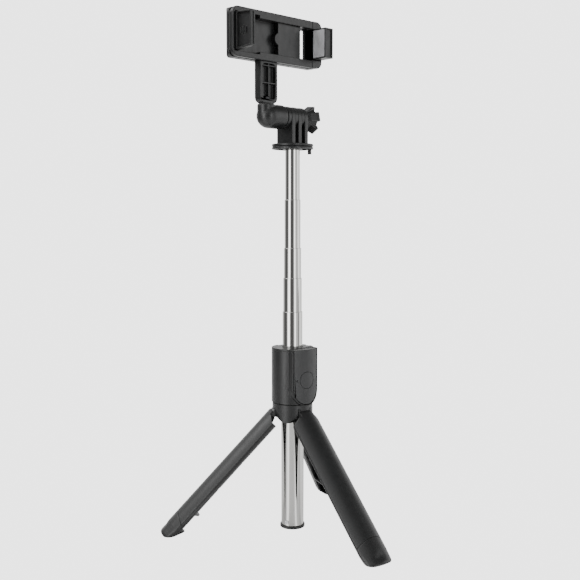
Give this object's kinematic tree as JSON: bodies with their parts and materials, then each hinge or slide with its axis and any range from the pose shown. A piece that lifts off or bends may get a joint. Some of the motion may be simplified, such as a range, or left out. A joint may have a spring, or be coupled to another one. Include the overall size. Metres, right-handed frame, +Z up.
{
  "type": "selfie stick",
  "caption": "Telescopic selfie stick with fold-out tripod legs, a removable shutter remote in the handle, and a tilting, swivelling, spring-loaded phone clamp with folding jaws.",
  "frame": {"origin": "on the pole's axis, at the floor that the three open feet stand on", "axes": "+Z up along the pole; +X along the clamp and the tilt bolt, towards the knob; -Y towards the side that the phone faces"},
  "size_m": [0.1655, 0.1529, 0.3506],
  "materials": {
    "steel_tube": "polished stainless tube with faint drawn lines",
    "body_plastic": "satin moulded black ABS, fine grain",
    "knob_plastic": "satin moulded black nylon",
    "remote_plastic": "satin black ABS, slightly smoother",
    "foot_plastic": "semi-matte black elastomer",
    "bush_plastic": "plain black acetal",
    "grip_pad": "matte grey silicone with fine ribs",
    "grip_rubber": "matte black silicone",
    "zinc_hardware": "zinc-plated steel",
    "black_steel": "black-oxide steel",
    "battery_steel": "plain coin-cell steel",
    "board_green": "solder-masked circuit board",
    "led_lens": "dark clear lens"
  },
  "bodies": {
    "handle": {"outer_tube": "steel_tube", "tube_end_cap": "body_plastic", "end_cap_screw": "zinc_hardware", "housing_shell": "body_plastic", "housing_top": "body_plastic", "leg_collar": "body_plastic", "collar_screws": "zinc_hardware", "hinge_pin_1": "zinc_hardware", "hinge_pin_2": "zinc_hardware", "hinge_pin_3": "zinc_hardware"},
    "leg_1": {"leg_arm_1": "body_plastic", "leg_shell_1": "body_plastic", "leg_foot_1": "foot_plastic"},
    "leg_2": {"leg_arm_2": "body_plastic", "leg_shell_2": "body_plastic", "leg_foot_2": "foot_plastic"},
    "leg_3": {"leg_arm_3": "body_plastic", "leg_shell_3": "body_plastic", "leg_foot_3": "foot_plastic"},
    "remote": {"remote_case": "remote_plastic", "remote_back": "remote_plastic", "remote_battery_door": "remote_plastic", "remote_battery": "battery_steel", "remote_board": "board_green", "remote_led": "led_lens"},
    "shutter_button": {"remote_button": "remote_plastic"},
    "pole_5": {"tube_5": "steel_tube", "bush_5": "bush_plastic"},
    "pole_4": {"tube_4": "steel_tube", "bush_4": "bush_plastic"},
    "pole_3": {"tube_3": "steel_tube", "bush_3": "bush_plastic"},
    "pole_2": {"tube_2": "steel_tube", "bush_2": "bush_plastic"},
    "pole_1": {"tube_1": "steel_tube", "bush_1": "bush_plastic", "tube_plug": "body_plastic"},
    "head": {"head_clevis": "body_plastic", "locating_peg": "body_plastic", "pan_screw": "zinc_hardware", "slot_spacers": "body_plastic"},
    "elbow": {"elbow_arm": "body_plastic", "pivot_washer": "body_plastic", "hex_nut": "zinc_hardware", "swivel_screw": "black_steel", "swivel_washer": "bush_plastic"},
    "knob": {"clamp_bolt": "zinc_hardware", "clamp_knob": "knob_plastic"},
    "clamp": {"clamp_stem": "body_plastic", "clamp_frame": "body_plastic", "clamp_back": "body_plastic", "clamp_screws": "zinc_hardware", "left_jaw_pin": "zinc_hardware", "slider_springs": "zinc_hardware"},
    "left_grip": {"left_jaw": "body_plastic", "left_jaw_pad": "grip_rubber"},
    "slider": {"clamp_slider": "body_plastic", "right_jaw_pin": "zinc_hardware"},
    "right_grip": {"right_jaw": "body_plastic", "right_jaw_pad": "grip_pad"}
  },
  "joints": [
    {"name": "leg_1_fold", "type": "hinge", "parent": "handle", "child": "leg_1", "pos_m": [-0.00111, -0.01135, 0.0855], "axis": [0.9952, -0.0976, 0], "range_deg": [0, 43]},
    {"name": "leg_2_fold", "type": "hinge", "parent": "handle", "child": "leg_2", "pos_m": [0.01038, 0.00471, 0.0855], "axis": [-0.4131, 0.9107, 0], "range_deg": [0, 43]},
    {"name": "leg_3_fold", "type": "hinge", "parent": "handle", "child": "leg_3", "pos_m": [-0.00927, 0.00664, 0.0855], "axis": [-0.5821, -0.8131, 0], "range_deg": [0, 43]},
    {"name": "remote_pull", "type": "slide", "parent": "handle", "child": "remote", "axis": [-0.0976, -0.9952, 0], "range_m": [0, 0.02]},
    {"name": "shutter_press", "type": "slide", "parent": "remote", "child": "shutter_button", "axis": [0.0976, 0.9952, 0], "range_m": [0, 0.0004], "stiffness_N_per_m": 700, "springref_m": -0.0012},
    {"name": "tube_5_slide", "type": "slide", "parent": "handle", "child": "pole_5", "axis": [0, 0, 1], "range_m": [-0.0242, 0.076]},
    {"name": "tube_4_slide", "type": "slide", "parent": "pole_5", "child": "pole_4", "axis": [0, 0, 1], "range_m": [-0.023, 0.074]},
    {"name": "tube_3_slide", "type": "slide", "parent": "pole_4", "child": "pole_3", "axis": [0, 0, 1], "range_m": [-0.0204, 0.072]},
    {"name": "tube_2_slide", "type": "slide", "parent": "pole_3", "child": "pole_2", "axis": [0, 0, 1], "range_m": [-0.0327, 0.058]},
    {"name": "tube_1_slide", "type": "slide", "parent": "pole_2", "child": "pole_1", "axis": [0, 0, 1], "range_m": [-0.0315, 0.052]},
    {"name": "head_turn", "type": "hinge", "parent": "pole_1", "child": "head", "pos_m": [0, 0, 0.2578], "axis": [0, 0, 1], "continuous": true},
    {"name": "head_tilt", "type": "hinge", "parent": "head", "child": "elbow", "pos_m": [0, 0, 0.2845], "axis": [1, 0, 0], "range_deg": [-90, 90]},
    {"name": "knob_spin", "type": "hinge", "parent": "elbow", "child": "knob", "pos_m": [0.012, 0, 0.2845], "axis": [1, 0, 0], "continuous": true},
    {"name": "clamp_swivel", "type": "hinge", "parent": "elbow", "child": "clamp", "pos_m": [-0.0245, 0, 0.2925], "axis": [0, 0, 1], "continuous": true},
    {"name": "clamp_open", "type": "slide", "parent": "clamp", "child": "slider", "axis": [1, 0, 0], "range_m": [0, 0.022], "stiffness_N_per_m": 150, "springref_m": -0.02, "deforming": ["slider_springs"]},
    {"name": "left_jaw_fold", "type": "hinge", "parent": "clamp", "child": "left_grip", "pos_m": [-0.0532, -0.0025, 0.33495], "axis": [0, 0, 1], "range_deg": [0, 90]},
    {"name": "right_jaw_fold", "type": "hinge", "parent": "slider", "child": "right_grip", "pos_m": [0.02, -0.0025, 0.33495], "axis": [0, 0, 1], "range_deg": [-90, 0]}
  ]
}
